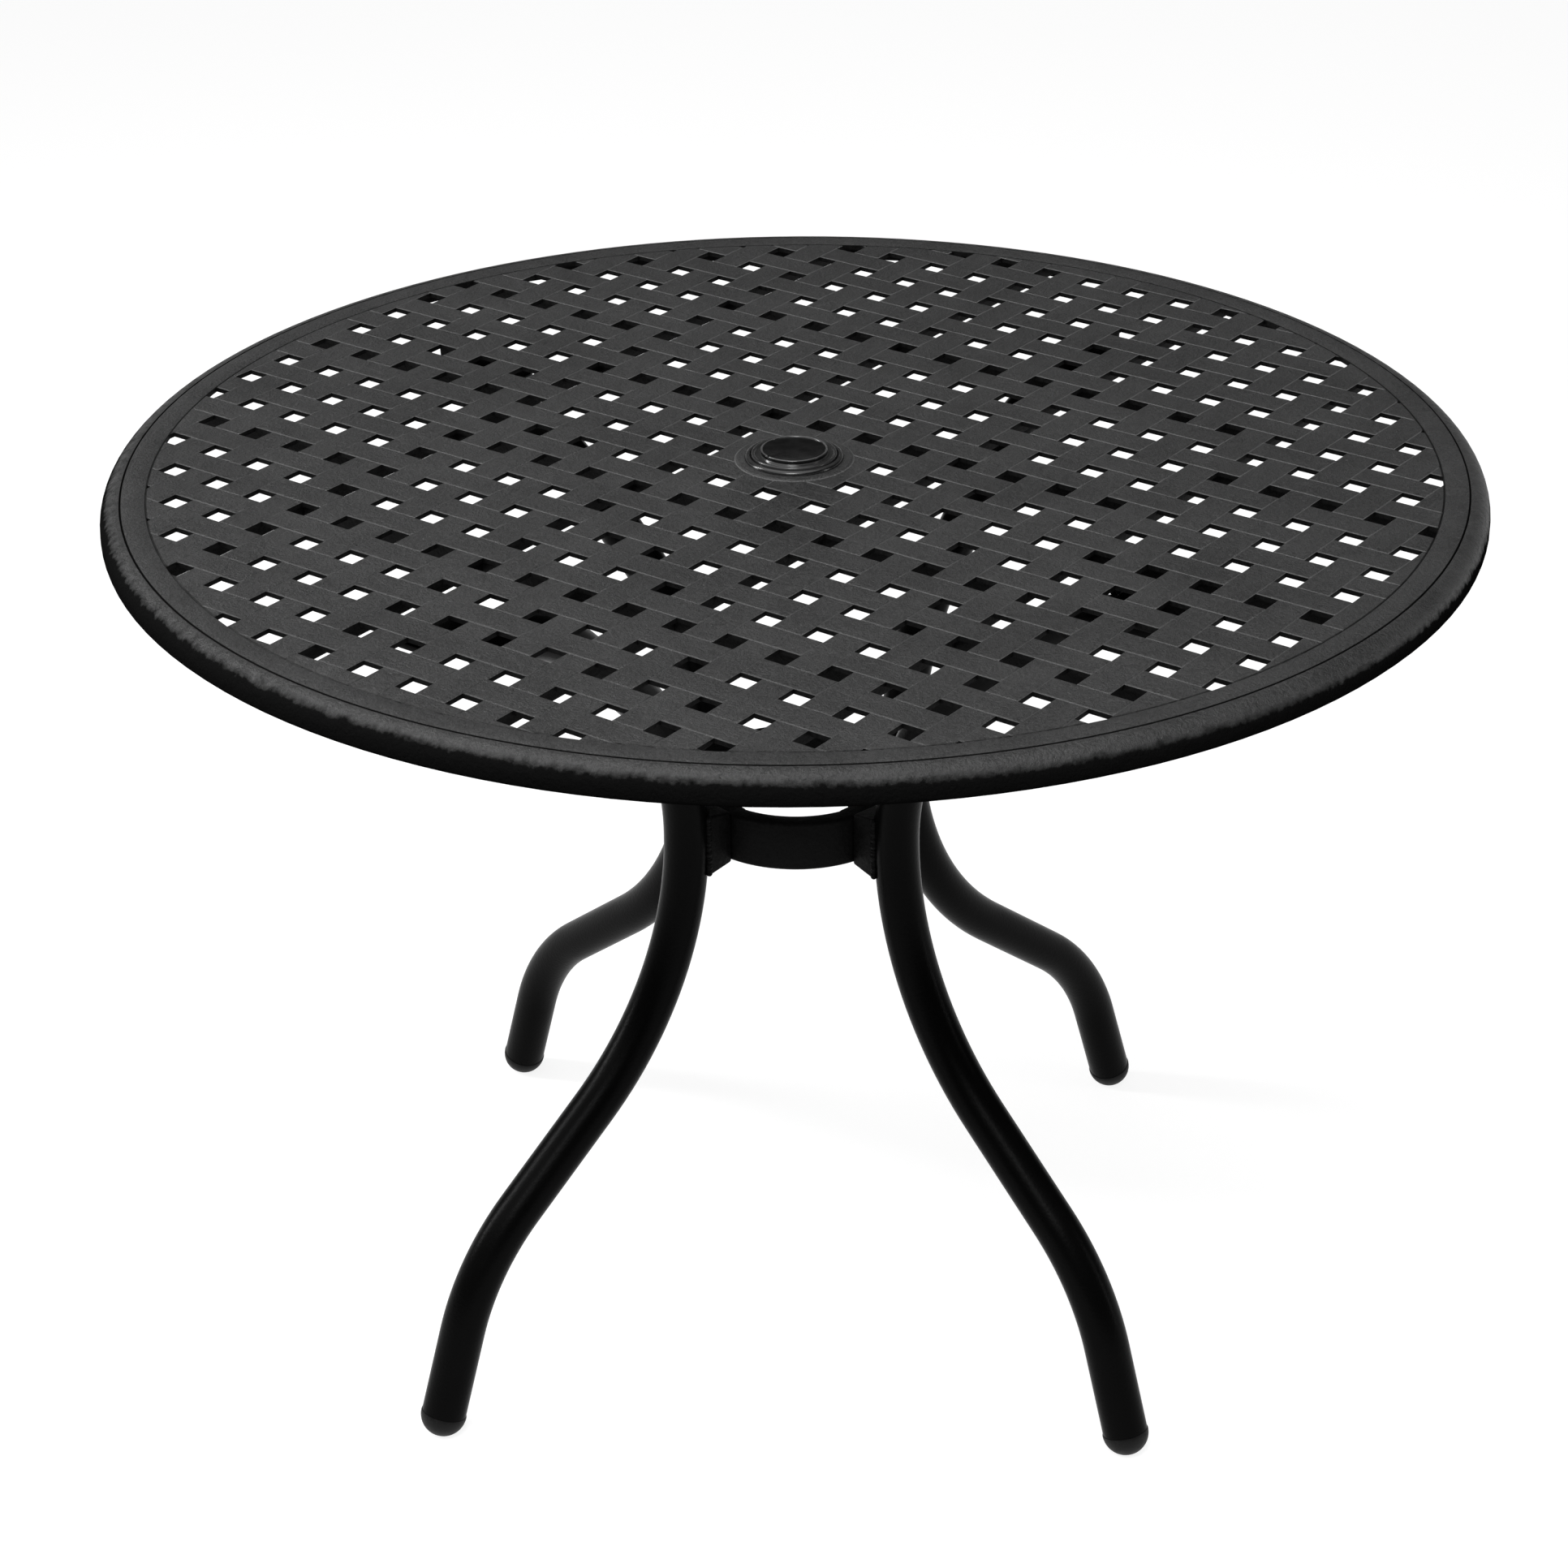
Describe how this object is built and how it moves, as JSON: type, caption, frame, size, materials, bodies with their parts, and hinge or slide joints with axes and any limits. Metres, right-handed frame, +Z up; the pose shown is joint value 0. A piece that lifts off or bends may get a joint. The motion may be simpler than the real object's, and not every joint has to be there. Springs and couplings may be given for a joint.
{
  "type": "umbrella table",
  "caption": "Round patio table with a basket-weave cast top, bent tube legs tied by a hoop, and a plugged hub for an umbrella pole.",
  "frame": {"origin": "on the floor under the centre of the hub", "axes": "+Z up, -Y towards the front, legs at 45 degrees to the axes"},
  "size_m": [1.0669, 1.067, 0.7457],
  "materials": {
    "top_coat": "wrinkle powder coat",
    "leg_coat": "satin powder coat",
    "lug_coat": "cast, powder coated",
    "ring_plastic": "glossy moulded",
    "cap_plastic": "glossy moulded",
    "glide_plastic": "moulded",
    "bolt_zinc": "blackened"
  },
  "bodies": {
    "table": {"table_top": "top_coat", "brace_ring": "leg_coat", "plate_bolts": "bolt_zinc", "brace_bolts": "bolt_zinc", "leg_front_left": "leg_coat", "leg_plate_front_left": "leg_coat", "brace_lug_front_left": "lug_coat", "foot_glide_front_left": "glide_plastic", "leg_front_right": "leg_coat", "leg_plate_front_right": "leg_coat", "brace_lug_front_right": "lug_coat", "foot_glide_front_right": "glide_plastic", "leg_rear_right": "leg_coat", "leg_plate_rear_right": "leg_coat", "brace_lug_rear_right": "lug_coat", "foot_glide_rear_right": "glide_plastic", "leg_rear_left": "leg_coat", "leg_plate_rear_left": "leg_coat", "brace_lug_rear_left": "lug_coat", "foot_glide_rear_left": "glide_plastic"},
    "ring": {"umbrella_ring": "ring_plastic"},
    "cap": {"umbrella_cap": "cap_plastic"}
  },
  "joints": [
    {"name": "ring_lift", "type": "slide", "parent": "table", "child": "ring", "axis": [0, 0, 1], "range_m": [0, 0.06]},
    {"name": "cap_lift", "type": "slide", "parent": "ring", "child": "cap", "axis": [0, 0, 1], "range_m": [0, 0.04]}
  ]
}
